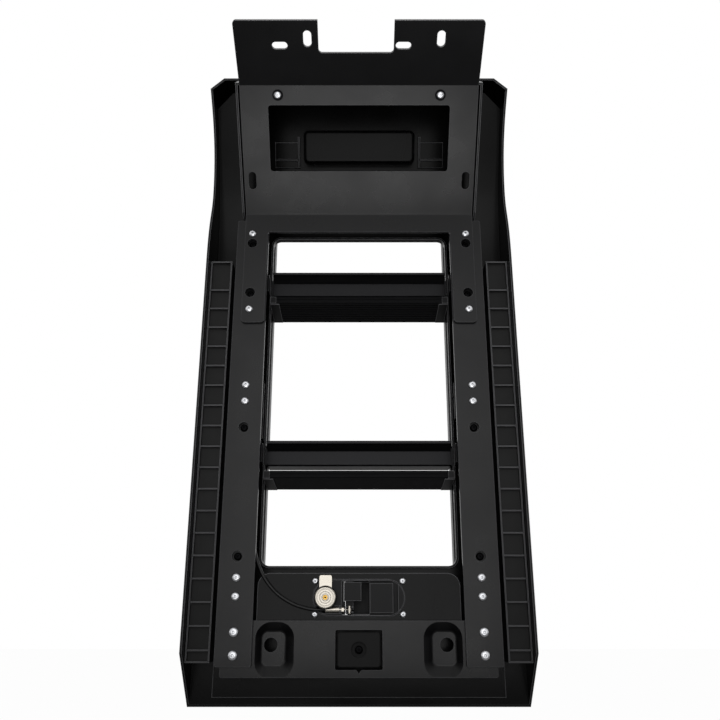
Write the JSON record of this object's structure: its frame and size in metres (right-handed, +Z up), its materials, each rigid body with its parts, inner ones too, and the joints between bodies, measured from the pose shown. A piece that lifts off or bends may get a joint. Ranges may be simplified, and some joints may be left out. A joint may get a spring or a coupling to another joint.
{
  "type": "side ladder",
  "caption": "Vehicle side ladder: moulded housing with fixed rungs, bent roof bracket, and a treaded section that unlatches and folds down to step from.",
  "frame": {"origin": "midway between the two lower fixing holes, on the faces of their dished seats that meet the vehicle", "axes": "+X across the ladder to the right as seen from the vehicle, -Y towards the vehicle, +Z up"},
  "size_m": [0.448, 0.2863, 0.89],
  "materials": {
    "housing_plastic": "deep black, moulded",
    "strip_plastic": "matte black",
    "coated_steel": "satin black powder coat",
    "frame_steel": "black powder coat",
    "anodised_aluminium": "satin black anodised",
    "moulded_black": "black glass-filled nylon",
    "rubber": "matte",
    "zinc_steel": "bright zinc",
    "black_steel": "black zinc",
    "nickel": "nickel plated",
    "brass": "turned",
    "cable_plastic": "satin black",
    "wire_steel": "bright"
  },
  "bodies": {
    "frame": {"block_bolts": "zinc_steel", "bracket_bolts": "zinc_steel", "bumper_screw": "black_steel", "cable_core": "wire_steel", "cable_ferrules": "nickel", "cable_sheath": "cable_plastic", "centre_bumper": "rubber", "cross_plate": "coated_steel", "cross_plate_bolts": "zinc_steel", "guide_block": "frame_steel", "handle_base": "moulded_black", "handle_screws": "zinc_steel", "housing": "housing_plastic", "housing_screws": "black_steel", "latch_body": "frame_steel", "latch_spring": "zinc_steel", "left_hinge_block": "frame_steel", "left_hinge_pin": "zinc_steel", "left_rail": "frame_steel", "left_rib_strip": "strip_plastic", "left_strap": "coated_steel", "lock_body": "nickel", "lock_nut": "nickel", "lower_rung": "anodised_aluminium", "paddle_pin": "zinc_steel", "right_hinge_block": "frame_steel", "right_hinge_pin": "zinc_steel", "right_rail": "frame_steel", "right_rib_strip": "strip_plastic", "right_strap": "coated_steel", "roof_bracket": "coated_steel", "rung_brackets": "frame_steel", "rung_screws": "zinc_steel", "top_screws": "zinc_steel", "top_washers": "black_steel", "upper_rung": "anodised_aluminium"},
    "ladder": {"left_stile": "anodised_aluminium", "right_stile": "anodised_aluminium", "left_hinge_lug": "moulded_black", "right_hinge_lug": "moulded_black", "left_stile_cap": "rubber", "right_stile_cap": "rubber", "lower_tread": "anodised_aluminium", "upper_tread": "anodised_aluminium", "lower_tread_ends": "moulded_black", "upper_tread_ends": "moulded_black", "left_striker": "moulded_black", "right_striker": "moulded_black"},
    "handle": {"paddle": "moulded_black", "cable_barrel": "wire_steel"},
    "bolt": {"latch_bolt": "zinc_steel", "latch_wire": "wire_steel"},
    "lock": {"lock_plug": "brass", "lock_cam": "nickel"}
  },
  "joints": [
    {"name": "ladder_fold", "type": "hinge", "parent": "frame", "child": "ladder", "pos_m": [0, 0.059, 0.072], "axis": [-1, 0, 0], "range_deg": [0, 171]},
    {"name": "paddle_pull", "type": "hinge", "parent": "frame", "child": "handle", "pos_m": [-0.012, 0.015, 0.0565], "axis": [0, 0, 1], "range_deg": [0, 30], "stiffness_Nm_per_rad": 0.05},
    {"name": "bolt_slide", "type": "slide", "parent": "frame", "child": "bolt", "axis": [0, 0, -1], "range_m": [0, 0.011], "deforming": ["latch_spring"]},
    {"name": "lock_turn", "type": "hinge", "parent": "frame", "child": "lock", "pos_m": [-0.0424, 0, 0.0565], "axis": [0, 1, 0], "range_deg": [0, 90]}
  ],
  "couplings": [
    {"joint": "bolt_slide", "follows": "paddle_pull", "m_per_rad": 0.021}
  ]
}
